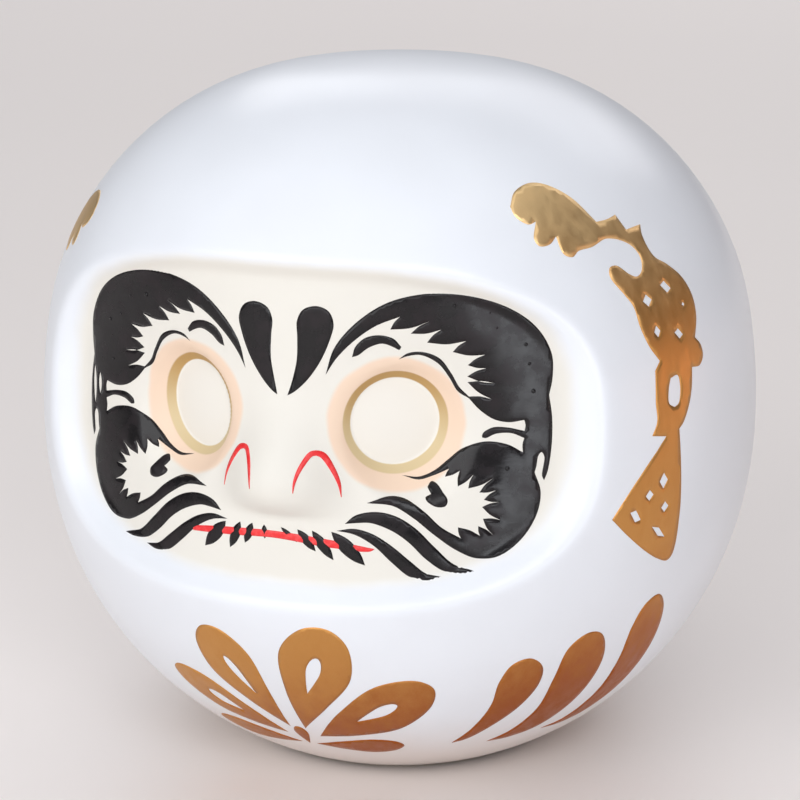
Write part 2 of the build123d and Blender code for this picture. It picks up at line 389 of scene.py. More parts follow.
def front_sheet(x, z):
    """Points of the skin straight behind places on an upright plane in front of the face."""
    body = -np.sqrt(np.maximum(radius_at(z) ** 2 - x**2, 0))
    return np.stack([x, pressed(x, body, z), z], -1)


def round_sheet(degrees, z):
    """Points of the skin by their turn about the axis, from the front to the doll's left, and height."""
    turn, radius = np.radians(degrees), radius_at(z)
    x = radius * np.sin(turn)
    return np.stack([x, pressed(x, -radius * np.cos(turn), z), z], -1)


def coat_skin(across, run):
    """Points of the skin by their way round the belly and their run up the outline."""
    turn = across / BELLY_RADIUS
    radius = np.interp(run, outline_run, outline_radii)
    z = np.interp(run, outline_run, outline_heights)
    x = radius * np.sin(turn)
    return np.stack([x, pressed(x, -radius * np.cos(turn), z), z], -1)


def spread(low, high, step):
    return np.linspace(low, high, max(2, round((high - low) / step) + 1))


def lattice(rows, columns):
    return np.array([(column, row) for row in rows for column in columns])


WIDE_ROW_STEP, WIDE_COLUMN_STEP, FINE_STEP = 3.0, 3.2, 0.85
FINE_LOW, FINE_HIGH, FINE_SIDE = 26.0, 104.0, 58.0
RINGS = (0, 1, 2, 3, 4, 5, 6, 6.5, 6.7, 6.9, 7.1, 7.4, 7.7, 8, 8.3, 8.6, 9, 9.4, 9.8, 10.2, 10.6, 11)
RING_EDGE = 11.4
RING_POINTS_PER_MM = 8


def coat_places():
    """Where the coat's corners lie: close together on the face, in rings round the eyes, else wide."""
    half_round, top = math.pi * BELLY_RADIUS, outline_run[-1]
    fine_low, fine_high = np.interp([FINE_LOW, FINE_HIGH], outline_heights, outline_run)
    wide = lattice(spread(0, top, WIDE_ROW_STEP), spread(-half_round, half_round, WIDE_COLUMN_STEP))
    inside = (np.abs(wide[:, 0]) < FINE_SIDE) & (wide[:, 1] > fine_low) & (wide[:, 1] < fine_high)
    fine = lattice(spread(fine_low, fine_high, FINE_STEP), spread(-FINE_SIDE, FINE_SIDE, FINE_STEP))
    radius = np.interp(fine[:, 1], outline_run, outline_radii)
    z = np.interp(fine[:, 1], outline_run, outline_heights)
    clear = eye_distance(radius * np.sin(fine[:, 0] / BELLY_RADIUS), z) > RING_EDGE
    rings = []
    for distance in RINGS:
        points = max(1, round(distance * RING_POINTS_PER_MM))
        for turn in spread(0, 2 * math.pi, 2 * math.pi / points)[:-1]:
            x = EYE_SPREAD + distance * math.cos(turn) * math.cos(EYE_TURN)
            z = EYE_HEIGHT + distance * math.sin(turn)
            across = BELLY_RADIUS * math.asin(x / radius_at(z))
            run = np.interp(z, outline_heights, outline_run)
            rings += [(across, run), (-across, run)]
    return np.concatenate([wide[~inside], fine[clear], np.array(rings)])


def mesh_object(name, points, faces, paints, smooth=None):
    mesh = bpy.data.meshes.new(name)
    mesh.from_pydata((points * MM).tolist(), [], faces)
    mesh.polygons.foreach_set("use_smooth", smooth or [True] * len(faces))
    for paint in paints:
        mesh.materials.append(paint.material)
    made = bpy.data.objects.new(name, mesh)
    bpy.context.scene.collection.objects.link(made)
    return made


def coat_mesh(name, paint):
    flat = [Vector(place) for place in coat_places()]
    corners, _, faces, *_ = delaunay_2d_cdt(flat, [], [], 0, 1e-4, False)
    corners = np.array([tuple(corner) for corner in corners])
    coat = mesh_object(name, coat_skin(corners[:, 0], corners[:, 1]), faces, [paint])
    solid = bmesh.new()
    solid.from_mesh(coat.data)
    bmesh.ops.remove_doubles(solid, verts=solid.verts, dist=1e-6)
    bmesh.ops.dissolve_degenerate(solid, edges=solid.edges, dist=1e-7)
    solid.normal_update()
    for corner in solid.verts:
        corner.co += corner.normal * COAT_PROUD * MM
    bmesh.ops.solidify(solid, geom=solid.faces[:], thickness=COAT_THICKNESS * MM)
    solid.to_mesh(coat.data)
    solid.free()
    return coat


CREAM_HALF_WIDTH, CREAM_HALF_HEIGHT, CREAM_MIDDLE = 41.2, 24.4, FACE_MIDDLE + 1.1
CREAM_EDGE = 1.06, 0.97
HALO_EDGE, HALO_STRENGTH = (10.9, 10.1), 0.85
WARM_REFLECTION_HEIGHTS, WARM_REFLECTION_STRENGTH = (20, 2), 0.75
WOBBLE_SIZE, GRAIN_SIZE, ORANGE_PEEL_SIZE, DRIFT_SIZE = 9.0, 0.5, 2.2, 26.0
LACQUER_RELIEF = 0.05
WHITE = (0.86, 0.895, 0.95, 1)
WHITE_THIN = (0.82, 0.85, 0.90, 1)
FOOT_WARM_REFLECTION = (0.80, 0.68, 0.60, 1)
CREAM = (0.81, 0.785, 0.72, 1)
PEACH = (0.88, 0.65, 0.48, 1)
OCHRE_SHADED = (0.50, 0.30, 0.10, 1)
OCHRE_LIT = (0.68, 0.54, 0.31, 1)
EYEBALL = (0.87, 0.84, 0.77, 1)

lacquer = Paint("white_lacquer", Roughness=0.35, Coat_Weight=0.25, Coat_Roughness=0.25)
x, y, z = lacquer.axes()
wobble = lacquer.noise(WOBBLE_SIZE, detail=2) - 0.5
grain = lacquer.noise(GRAIN_SIZE, detail=2, seed=1.0)
orange_peel = lacquer.noise(ORANGE_PEEL_SIZE, detail=2, seed=3.0)
drift = lacquer.noise(DRIFT_SIZE, detail=2, seed=5.0)
in_front = (y * -1).ramp(0, 4)
face_wide = (abs(x) / CREAM_HALF_WIDTH) ** 3
face_tall = (abs(z - CREAM_MIDDLE) / CREAM_HALF_HEIGHT) ** 3
face_share = (face_wide + face_tall) ** (1 / 3) + wobble * 0.05
on_face = face_share.ramp(*CREAM_EDGE) * in_front

eye_x = (abs(x) - EYE_SPREAD) * math.cos(EYE_TURN)
eye_y = (y + float(bare_face_reach(np.array(EYE_SPREAD), np.array(EYE_HEIGHT)))) * math.sin(EYE_TURN)
eye_z = z - EYE_HEIGHT
from_eye = ((eye_x + eye_y) ** 2 + eye_z**2) ** 0.5
halo = (from_eye + wobble * 1.4).ramp(*HALO_EDGE) * in_front
well = (from_eye + wobble * 0.3).ramp(WELL_RADIUS + 0.15, WELL_RADIUS - 0.1) * in_front
eyeball = (from_eye + wobble * 0.3).ramp(WELL_FLOOR_RADIUS + 0.1, WELL_FLOOR_RADIUS - 0.1) * in_front
# Painted shade: the ochre well is darker at its top and paler at its bottom, as light from above falls on
# it.
well_painted_shade = (eye_z / WELL_RADIUS + wobble * 0.5).ramp(0.9, -0.5)

colour = lacquer.blend(drift.ramp(0.3, 0.7), WHITE, WHITE_THIN)
# Painted reflection: a warm tint towards the foot stands in for warm light bounced up from below.
colour = lacquer.blend((z + wobble * 4).ramp(*WARM_REFLECTION_HEIGHTS) * WARM_REFLECTION_STRENGTH, colour, FOOT_WARM_REFLECTION)
colour = lacquer.blend(on_face, colour, CREAM)
colour = lacquer.blend(halo * HALO_STRENGTH, colour, PEACH)
colour = lacquer.blend(well, colour, lacquer.blend(well_painted_shade, OCHRE_SHADED, OCHRE_LIT))
colour = lacquer.blend(eyeball, colour, EYEBALL)
satin = drift.ramp(0.3, 0.7, 0.3, 0.4) + on_face * 0.18
lacquer.feed(
    Base_Color=colour,
    Roughness=satin,
    Coat_Weight=(1 - on_face) * 0.25,
    Normal=lacquer.bump(orange_peel * 0.7 + grain * 0.3, LACQUER_RELIEF, 0.35),
)

coat = coat_mesh("painted_coat", lacquer)
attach(coat, "root")

# ---------------------------------------------------------------------------------------------------
# Brows and beard. Each side is one run of black lacquer laid on with a loaded brush, so it stands a
# little proud and eases down at its edge. The feathers are flicked inwards with the brush's tip.

FILM_THICKNESS, FILM_EDGE, FILM_BURY = 0.09, 0.02, 0.05
FILM_EDGE_WIDTH, FILM_SPACING = 0.5, 0.5
UNEVEN_PER_MM, UNEVEN_SHARE = 0.35, 0.35
PIMPLE_CLEARANCE, PIMPLE_FADE = 1.0, 2.0
CURVE_SPACING, FEATHER_BOW = 0.35, 0.07
LEAF_SHAPE = ((0.15, 0.55), (0.4, 1.0), (0.75, 0.75))
LACQUER_BLACK = (0.004, 0.003, 0.004, 1)
LACQUER_BLACK_THIN = (0.012, 0.008, 0.010, 1)
POOL_SIZE, DRAG_SIZE, DUST_SIZE, BLACK_RELIEF = 3.5, 0.6, 0.35, 0.08


def curve_through(points, spacing=CURVE_SPACING):
    """Points along a smooth curve through the given ones, from the first up to the last."""
    points = np.array(points, float)
    padded = np.vstack([2 * points[0] - points[1], points, 2 * points[-1] - points[-2]])
    pieces = []
    for corners in zip(padded, padded[1:], padded[2:], padded[3:]):
        gaps = [np.linalg.norm(after - before) for before, after in zip(corners, corners[1:])]
        knots = np.cumsum([0.0] + [max(gap, 0.01) ** 0.5 for gap in gaps])
        count = max(1, round(gaps[1] / spacing))
        at = knots[1] + (knots[2] - knots[1]) * np.arange(count)[:, None] / count

        def mixed(layer, starts, ends):
            shares = [(at - start) / (end - start) for start, end in zip(starts, ends)]
            return [a * (1 - share) + b * share for a, b, share in zip(layer, layer[1:], shares)]

        layer = mixed(corners, knots[:3], knots[1:])
        layer = mixed(layer, knots[:2], knots[2:])
        pieces += mixed(layer, knots[1:2], knots[2:3])
    return np.concatenate(pieces)


def traced(runs):
    """A closed outline from its runs. Each starts where the one before it ends, and is smooth."""
    starts = [run[-1] for run in runs[-1:] + runs[:-1]]
    return np.concatenate([curve_through([start, *run]) for start, run in zip(starts, runs)])


def feathers(corners, bow=FEATHER_BOW):
    """Runs from corner to corner in turn, tips and notches, each bowed to the left of its way."""
    runs = []
    for (x, z), (next_x, next_z) in zip(corners, corners[1:]):
        bowed_x = (x + next_x) / 2 - bow * (next_z - z)
        bowed_z = (z + next_z) / 2 + bow * (next_x - x)
        runs.append([(bowed_x, bowed_z), (next_x, next_z)])
    return runs


def mirrored(loops, turn=0.0, rise=0.0):
    return [[[(-x - turn, z + rise) for x, z in run] for run in runs] for runs in loops]


def flanks(start, end, width, shape):
    """A stroke's left side going out and its right side coming back, by shares of way and width."""
    start, end = np.array(start, float), np.array(end, float)
    way = end - start
    side = np.array([-way[1], way[0]]) / np.linalg.norm(way) * width / 2
    out = [start + way * along + side * wide for along, wide in shape]
    home = [start + way * along - side * wide for along, wide in reversed(shape)]
    return out, home


def leaf(start, end, width):
    """A pointed flick of the brush from one place to another."""
    out, home = flanks(start, end, width, LEAF_SHAPE)
    return [[*out, end], [*home, start]]


def measured(places, outlines):
    """Whether each place lies inside the outlines, and how far it is from the nearest of them."""
    odd, distance = np.zeros(len(places), bool), np.full(len(places), np.inf)
    for outline in outlines:
        for (x, z), (next_x, next_z) in zip(outline, np.roll(outline, -1, axis=0)):
            from_x, from_z, way_x, way_z = places[:, 0] - x, places[:, 1] - z, next_x - x, next_z - z
            crossed = (from_z < 0) != (from_z < way_z)
            if way_z:
                odd ^= crossed & (from_x < way_x * from_z / way_z)
            share = np.clip((from_x * way_x + from_z * way_z) / max(way_x**2 + way_z**2, 1e-9), 0, 1)
            distance = np.minimum(distance, np.hypot(from_x - share * way_x, from_z - share * way_z))
    return odd, distance


def laid_on(sheet, flat, height):
    """Points at a height over the skin, and a sheet's flat places laid on it."""
    step = 0.05
    across, z = flat[:, 0], flat[:, 1]
    sideways = sheet(across + step, z) - sheet(across - step, z)
    upwards = sheet(across, z + step) - sheet(across, z - step)
    out = np.cross(sideways, upwards)
    out /= np.linalg.norm(out, axis=1, keepdims=True)
    return sheet(across, z) + out * height[:, None]


def film_patch(sheet, loops, thickness, spacing):
    """One closed patch of paint: points, faces, which faces are smooth, and each point's fitness
    for a pimple."""
    outlines = [traced(runs) for runs in loops]
    low, high = outlines[0].min(0), outlines[0].max(0)
    grid = lattice(spread(low[1], high[1], spacing), spread(low[0], high[0], spacing))
    within, distance = measured(grid, outlines)
    corners = np.concatenate(outlines + [grid[within & (distance > spacing * 0.55)]])
    edges, first = [], 0
    for outline in outlines:
        count = len(outline)
        edges += [(first + number, first + (number + 1) % count) for number in range(count)]
        first += count
    flat, _, cells, *_ = delaunay_2d_cdt([Vector(corner) for corner in corners], edges, [], 0, 1e-5, False)
    flat, cells = np.array([tuple(place) for place in flat]), np.array(cells)
    cells = cells[measured(flat[cells].mean(1), outlines)[0]]
    used, cells = np.unique(cells, return_inverse=True)
    flat, cells = flat[used], cells.reshape(-1, 3)
    distance = measured(flat, outlines)[1]
    uneven = np.array([noise.noise(Vector((*place, 0.0)) * UNEVEN_PER_MM) for place in flat])
    swell = 1 - np.exp(-distance / FILM_EDGE_WIDTH)
    height = FILM_EDGE + (thickness - FILM_EDGE) * swell * (1 + UNEVEN_SHARE * uneven)
    top = laid_on(sheet, flat, COAT_PROUD + height)
    under = laid_on(sheet, flat, np.full(len(flat), COAT_PROUD - FILM_BURY))
    ways = {(int(a), int(b)) for cell in cells for a, b in zip(cell, np.roll(cell, -1))}
    count = len(flat)
    walls = [(b, a, a + count, b + count) for a, b in ways if (b, a) not in ways]
    faces = cells.tolist() + (cells[:, ::-1] + count).tolist() + sorted(walls)
    smooth = [True] * len(cells) + [False] * (len(faces) - len(cells))
    fit = np.concatenate([ease((distance - PIMPLE_CLEARANCE) / PIMPLE_FADE), np.zeros(count)])
    return np.concatenate([top, under]), faces, smooth, fit


def film(name, sheet, patches, paint, thickness=FILM_THICKNESS, spacing=FILM_SPACING):
    """A thin raised layer of paint inside outlines on a sheet. A patch is an outline and its holes."""
    points, faces, smooth, fit, count = [], [], [], [], 0
    for loops in patches:
        patch_points, patch_faces, patch_smooth, patch_fit = film_patch(sheet, loops, thickness, spacing)
        points.append(patch_points)
        faces += [tuple(corner + count for corner in face) for face in patch_faces]
        smooth += patch_smooth
        fit.append(patch_fit)
        count += len(patch_points)
    layer = mesh_object(name, np.concatenate(points), faces, [paint], smooth)
    fitness = layer.data.attributes.new("pimple_fit", "FLOAT", "POINT")
    fitness.data.foreach_set("value", np.concatenate(fit).astype(np.float32))
    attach(layer, "root")
    return layer


black = Paint("black_lacquer", Roughness=0.2, Specular_IOR_Level=0.3, Coat_Roughness=0.12)
pooled = black.noise(POOL_SIZE, detail=3)
drag = black.noise(DRAG_SIZE, detail=3, place=black.stretched((0.35, 0.35, 1.0)))
dust = black.noise(DUST_SIZE, detail=2, seed=2.0)
black.feed(
    Base_Color=black.blend(pooled.ramp(0.42, 0.66), LACQUER_BLACK, LACQUER_BLACK_THIN),
    Roughness=pooled.ramp(0.35, 0.65, 0.22, 0.32),
    Coat_Weight=pooled.ramp(0.3, 0.7, 0.2, 0.08),
    Normal=black.bump(pooled * 0.5 + drag * 0.3 + dust * 0.2, BLACK_RELIEF, 0.5),
)

beard_feathers = feathers([
    (27, 50), (26.5, 51.7), (29.6, 50.3), (29.3, 51.8), (31.4, 50.3), (29.9, 52.9), (32.3, 52.6),
    (29.7, 54.7), (32, 55.4), (29.9, 55.8), (31.5, 57.2), (29.2, 56.9), (31.1, 59.1), (27.6, 57.5),
    (28.2, 59.6), (26.1, 57.8), (26.2, 60), (24, 58.9), (24.5, 60.1),
])
brow_feathers = feathers([
    (27, 71.6), (30.3, 71.2), (26.8, 73.9), (30.8, 73.7), (26.8, 74.8), (29.5, 76.1), (26.9, 76.6),
    (29.3, 78.2), (24.8, 78.7), (26.7, 80.4), (21.2, 80.2), (23.2, 82.2), (18.9, 81.6), (21.6, 83.5),
    (16, 82.2), (17.4, 84.2),
])
brow_and_beard = [
    [(7.8, 79.1), (11, 83.1), (15.6, 86.3), (21.1, 87.7), (26.9, 87.6), (32.3, 85.8), (36.1, 82.7),
     (38.3, 78.3), (38.5, 74.5), (38.1, 71.6)],
    [(38.6, 68.2), (38.7, 63.7), (38.3, 59.7), (37.9, 58.4)],
    [(37.6, 59.1), (37.8, 62.1), (37.4, 62.8), (37, 62.3), (36.8, 60.7), (36.6, 59.7)],
    [(37.5, 56.7), (37.1, 52.9), (35.2, 49.2), (32.3, 46.9), (29.3, 46.8), (26.4, 48.2), (23.2, 50.6),
     (20.1, 53.1), (16.9, 54.9), (13.2, 55.3)],
    [(15.7, 56.1), (18.3, 55.8), (21.4, 54.2), (24.2, 51.7), (27, 50)],
    *beard_feathers,
    [(22.1, 58.9), (19.9, 58.2), (17.3, 58.7)],
    [(19.9, 58.6), (22.1, 59.6), (24, 61.3), (26.4, 63.4), (29.5, 64.6), (32.7, 64.2), (34.9, 62.9)],
    [(34.8, 64.1), (35, 65.1)],
    [(33.2, 65.9), (31, 65.8), (29.6, 65.1), (29.1, 65.2), (29.2, 65.9), (30.6, 66.8), (32.6, 66.8),
     (35, 66.2)],
    [(35.1, 67.1), (34.9, 67.9)],
    [(32.8, 67.6), (30.6, 68.1), (28.5, 69.6), (27, 71.3)],
    [(25.4, 72.4), (24.2, 74.6), (22.6, 76.9), (20.3, 78.2), (18.3, 78), (17.1, 77.5)],
    [(18.4, 78.5), (20.6, 78.7), (22.9, 77.7), (24.5, 75.3), (25.6, 73.1), (27, 71.6)],
    *brow_feathers,
    [(13.9, 82.7), (10.7, 80.3), (8.1, 77.5), (6.5, 74.9)],
]
left_brow = film("left_brow_and_beard", front_sheet, [[brow_and_beard]], black)
slits = [leaf((-37.9, 69.9), (-37.7, 63.6), 0.6), leaf((-36.6, 68.9), (-36.5, 65.4), 0.6)]
right_brow = film("right_brow_and_beard", front_sheet, [mirrored([brow_and_beard]) + slits], black)

# ---------------------------------------------------------------------------------------------------
# Small black strokes. A crescent over each eye, a comma on each cheek, two whiskers a side, two drops
# on the forehead and a row of short flicks at the mouth, all with the same brush and lacquer.

STROKE_THICKNESS, STROKE_SPACING = 0.08, 0.45

crescent = [
    [(10.9, 79.4), (12.3, 80.8), (14.3, 81.3), (16.4, 80.8), (17.5, 79.5)],
    [(17.2, 79), (16.5, 79.4), (14.8, 80), (12.8, 79.3), (11.3, 78.1), (10.4, 77.8)],
]
cheek_comma = [
    [(21.9, 58.1), (22.8, 57.9), (24, 56.8), (24.8, 55.8), (24.6, 54.9), (23.6, 54.7), (22, 55.3),
     (21.5, 55.9), (22.3, 56.4)],
    [(21.9, 56.8), (21.5, 57.3)],
]
middle_whisker = [
    [(11.6, 53.4), (14.5, 54), (17.5, 53.4), (20.5, 51.6), (23.5, 48.6), (26.2, 46), (29.3, 44.8)],
    [(27.5, 44.5), (25, 44.9), (22.3, 46.8), (19.6, 49.5), (17.1, 51.2), (14.1, 52.3), (12.1, 52.3),
     (10.2, 52.1)],
]
lower_whisker = [
    [(11.6, 51.4), (14.3, 50.7), (17.1, 49), (20.1, 46.5), (22.3, 44.7), (24.7, 44)],
    [(22.6, 43.5), (20.1, 44.1), (17.4, 46.3), (14.6, 48.9), (11.7, 50.5), (9, 51)],
]
forehead_drop = [
    [(1.5, 74), (2.1, 77.1), (2.1, 80.7), (2, 82.9), (2.9, 84.7), (5, 85.4), (6.9, 84.7), (7.7, 82.8),
     (7.2, 80.5), (5.8, 77.1), (3.7, 73.9), (1.8, 72), (0.8, 71.4)],
]
mouth_flicks = [
    leaf((8.2, 50.8), (13.5, 45.8), 2.1),
    leaf((5.2, 50.8), (8.7, 46.4), 1.6),
    leaf((2.9, 50.8), (5.9, 47.6), 1.4),
    leaf((0.2, 50.9), (2.9, 48.8), 0.8),
    leaf((-2.6, 51.0), (-2.4, 48.8), 0.9),
    leaf((-4.6, 51.0), (-5.8, 47.7), 1.4),
    leaf((-6.7, 50.9), (-8.4, 46.6), 1.6),
    leaf((-9.3, 50.6), (-13.0, 46.1), 2.1),
]
side_strokes = [crescent, cheek_comma, middle_whisker, lower_whisker, forehead_drop]
small_strokes = [[stroke] for stroke in side_strokes + mouth_flicks]
small_strokes += [mirrored([stroke]) for stroke in side_strokes]
film("small_black_strokes", front_sheet, small_strokes, black, STROKE_THICKNESS, STROKE_SPACING)

# ---------------------------------------------------------------------------------------------------
# Red lines. The mouth and the two nostrils, in thin red lacquer with a fine pointed brush. The brush
# is pressed at the top of each arch and lifted at its ends.

LACQUER_RED = (0.84, 0.014, 0.018, 1)
LACQUER_RED_THIN = (0.90, 0.07, 0.07, 1)
RED_STREAK_SIZE, RED_RELIEF = 0.9, 0.04
RED_THICKNESS, RED_SPACING = 0.06, 0.3
NOSTRIL_WIDTH, ARCH_END = 0.85, 0.12

red = Paint("red_lacquer", Roughness=0.38, Coat_Weight=0.3, Coat_Roughness=0.2)
red_streaks = red.noise(RED_STREAK_SIZE, detail=3)
red.feed(
    Base_Color=red.blend(red_streaks.ramp(0.4, 0.7), LACQUER_RED, LACQUER_RED_THIN),
    Roughness=red_streaks.ramp(0.3, 0.7, 0.3, 0.46),
    Normal=red.bump(red_streaks, RED_RELIEF, 0.5),
)

mouth_line = [
    [(-9.7, 49.7), (-0.6, 50.2), (8.3, 49.5), (14.8, 48.4)],
    [(14.2, 48), (8.3, 48.3), (-0.6, 49.1), (-8.7, 48.6), (-15.3, 48.1)],
    [(-16, 48.8)],
]


def arch(path, width):
    """A stroke along a path, widest at its middle and fine at its ends."""
    path = np.array(path)
    along = np.gradient(path, axis=0)
    across = np.stack([-along[:, 1], along[:, 0]], -1) / np.linalg.norm(along, axis=1, keepdims=True)
    press = np.sin(np.linspace(ARCH_END, math.pi - ARCH_END, len(path)))[:, None] * width / 2
    first, last = path + across * press, path - across * press
    return [first[1:].tolist(), last[-1:].tolist(), last[-2::-1].tolist(), first[:1].tolist()]


nostril_path = [
    (9.5, 56.3), (9.1, 58.3), (8.1, 60.6), (6.5, 62.8), (5.2, 63), (4.2, 61.4), (3.6, 59.4), (3.4, 57.6),
]
nostril = arch(nostril_path, NOSTRIL_WIDTH)
red_patches = [[mouth_line], [nostril], mirrored([nostril])]
film("red_lines", front_sheet, red_patches, red, RED_THICKNESS, RED_SPACING)

# ---------------------------------------------------------------------------------------------------
# Gold flourishes. One at each side, of bronze powder in clear size: a plume, a knot with a strap
# below it, and a fan. Small bare lozenges are left in the knot and the fan.

GOLD_PALE_LIT = (0.88, 0.62, 0.31, 1)
GOLD = (0.64, 0.31, 0.09, 1)
GOLD_BROWN_SHADED = (0.40, 0.105, 0.018, 1)
FLAKE_SIZE, GOLD_STREAK_SIZE, GOLD_POOL_SIZE, GOLD_RELIEF = 0.25, 1.6, 7.0, 0.05
BROWN_SHADE_HEIGHTS, PALE_LIGHT_HEIGHTS = (4, 30), (56, 92)
GOLD_THICKNESS, FLOURISH_SPACING = 0.06, 0.7
FAR_TURN, FAR_RISE = 12.5, -6.8

gold = Paint("gold_paint", Roughness=0.4, Metallic=0.8)
gold_x, _, gold_z = gold.axes()
flakes = gold.noise(FLAKE_SIZE, detail=2)
gold_streaks = gold.noise(GOLD_STREAK_SIZE, detail=4, place=gold.stretched((1, 1, 0.3)))
gold_pools = gold.noise(GOLD_POOL_SIZE, detail=2)
# Painted light and shade: the gold is paler high up and browner low down and on the doll's left, with random
# streaks and pools over that.
painted_light_and_streaks = gold_z - gold_x * 0.35 + (gold_streaks - 0.5) * 16 + (gold_pools - 0.5) * 14
gold_colour = gold.blend(painted_light_and_streaks.ramp(*BROWN_SHADE_HEIGHTS), GOLD_BROWN_SHADED, GOLD)
gold_colour = gold.blend(painted_light_and_streaks.ramp(*PALE_LIGHT_HEIGHTS), gold_colour, GOLD_PALE_LIT)
gold.feed(
    Base_Color=gold_colour,
    Roughness=gold_streaks.ramp(0.3, 0.7, 0.34, 0.5),
    Metallic=flakes.ramp(0.3, 0.7, 0.8, 0.95),
    Normal=gold.bump(flakes * 0.35 + gold_streaks * 0.65, GOLD_RELIEF, 0.5),
)


def lozenge(x, z, half_width, half_height, lean=0.0):
    right, left = (x + half_width, z + lean), (x - half_width, z - lean)
    return [[right], [(x, z + half_height)], [left], [(x, z - half_height)]]


flourish = [
    [(42.5, 101), (46.5, 102.1), (50.5, 101.6), (54.5, 99.6), (57.5, 96.1)],
    [(60, 96.2), (62.6, 96.6)],
    [(63.5, 94.4)],
    [(66, 94.6), (67.6, 94.7)],
    [(66.8, 93.3), (66.9, 91.3), (67.6, 90), (70, 88.6), (72.8, 86.2), (74.0, 83.5), (73.8, 80.5),
     (72.2, 77.2)],
    [(73.5, 75.8), (73.7, 74), (72.5, 72.8), (70.4, 72.9)],
    [(69.9, 70), (69, 67.5), (67.4, 64.9), (66.3, 64)],
    [(66.7, 58), (67.2, 50), (67.0, 43.0), (66, 42.3), (63.5, 43.2), (60.2, 45.3), (56, 48.8), (52.8, 52.0)],
    [(55, 54.9), (58.4, 58.7), (63.3, 63.4)],
    [(60.3, 64)],
    [(61.4, 66), (61.3, 69), (61.5, 71.5), (61.7, 73.9)],
    [(62.9, 75.2)],
    [(61, 77.8), (59.8, 81), (59.4, 83.8), (58.2, 85.6), (56.2, 88.5), (56.6, 89.7), (58.2, 89.9),
     (60.4, 88.4), (61.8, 87.9), (63.4, 88.6), (64.1, 90.6), (63.2, 92.1), (61, 93.2), (58, 93.7),
     (54.5, 92.9), (51.5, 92.6), (50, 91.9), (48.4, 92.5), (48, 94.9)],
    [(46.3, 93.9), (44.2, 93.9), (43.7, 94.9), (45, 97.1)],
    [(43.4, 96.8), (41.3, 98), (40.9, 99.3)],
]
strap_slot = [
    [(66.6, 72.4), (67, 70.5), (66.4, 68), (65.4, 67.6)],
    [(64.2, 68.4), (64.3, 70.6), (64.9, 72.2)],
]
bare_lozenges = [
    lozenge(62.6, 84.3, 1.0, 0.9),
    lozenge(67.7, 85.6, 1.2, 0.9, -0.4),
    lozenge(63.3, 79.6, 0.7, 0.9),
    lozenge(68.2, 78.5, 1.0, 0.8, -0.3),
    lozenge(70.9, 82.5, 0.4, 0.35),
    lozenge(62.8, 56.4, 0.9, 1.3),
    lozenge(59.9, 54.6, 0.8, 0.9),
    lozenge(57.3, 51.7, 1.1, 1.0, -0.8),
    lozenge(63.4, 52.0, 0.8, 0.9),
    lozenge(62.6, 48.0, 1.6, 0.7, -1.2),
]
flourish_patch = [flourish, strap_slot] + bare_lozenges
far_flourish_patch = mirrored(flourish_patch, FAR_TURN, FAR_RISE)
film("left_gold_flourish", round_sheet, [flourish_patch], gold, GOLD_THICKNESS, FLOURISH_SPACING)
film("right_gold_flourish", round_sheet, [far_flourish_patch], gold, GOLD_THICKNESS, FLOURISH_SPACING)

# ---------------------------------------------------------------------------------------------------
# Gold leaves and flower spray. Broad single strokes of the same gold, three at the doll's left side,
# and a plain spray of round petals and two leaves on the front below the face, with bare slots in it.

LEAF_SPACING, SPRAY_SPACING = 0.7, 0.6
PETAL_SHAPE = ((0.34, 0.62), (0.68, 1.0), (0.93, 0.6))

leaf_strokes = [
    [[(35, 14.5), (37.2, 20), (37.4, 25), (39, 28.5), (42, 29.4), (45, 27.2), (45.5, 23.5), (43.5, 19),
      (39, 14.5), (35, 11.8), (32, 11)]],
    [[(45, 12.5), (48, 17), (48.3, 24), (49, 30), (52, 32.4), (55, 31.8), (57.5, 28), (58.3, 23), (57, 17),
      (53, 12.5), (47, 10.6), (41, 10.2)]],
    [[(60, 12.5), (63, 17), (63, 24), (62.2, 31), (63.5, 35), (66.3, 36.2), (68.8, 34), (71, 28.5), (72, 22),
      (71, 16), (67, 12.5), (61, 11), (55, 11)]],
]
leaf_patches = [[stroke] for stroke in leaf_strokes]
film("gold_leaves", round_sheet, leaf_patches, gold, GOLD_THICKNESS, LEAF_SPACING)


def petal(root, tip, width):
    """A round-tipped petal that widens from a narrow root."""
    up, down = flanks(root, tip, width, PETAL_SHAPE)
    return [[*up, tip, *down, root]]


flower_spray = [
    [petal((-4, 14), (-14, 33.5), 10.5), petal((-7.6, 21), (-11.3, 28.2), 1.6)],
    [petal((-0.5, 14), (8.8, 36), 12.5), petal((3.2, 22.8), (6.4, 30.4), 2.4)],
    [petal((2, 12.2), (26, 24.6), 10.5), petal((11.5, 17.1), (19.5, 21.3), 2.2)],
    [petal((-6, 12), (-27, 22), 8), petal((-14, 15.8), (-20.5, 18.9), 2.2)],
    [petal((-4.4, 9.6), (-27, 10.8), 4.4)],
    [petal((-0.4, 9.6), (21, 10.8), 4.0)],
    [petal((-2.4, 9.4), (-2.2, 14.2), 3.2)],
]
film("gold_flower_spray", round_sheet, flower_spray, gold, GOLD_THICKNESS, SPRAY_SPACING)

# ---------------------------------------------------------------------------------------------------
# Pimples. Grit and small bubbles that dried in the black lacquer and stand up out of it. They lie
# thickest where the brush was most loaded, on the outer brow and the beard.

PIMPLE_SMALLEST, PIMPLE_LARGEST = 0.10, 0.42
PIMPLE_SPACING = 2.4
PIMPLES_PER_SQUARE_MM = 0.1
PIMPLE_SEGMENTS, PIMPLE_RINGS, PIMPLE_FLATNESS = 8, 6, 0.55
LEFT_SEED, RIGHT_SEED = 4, 9


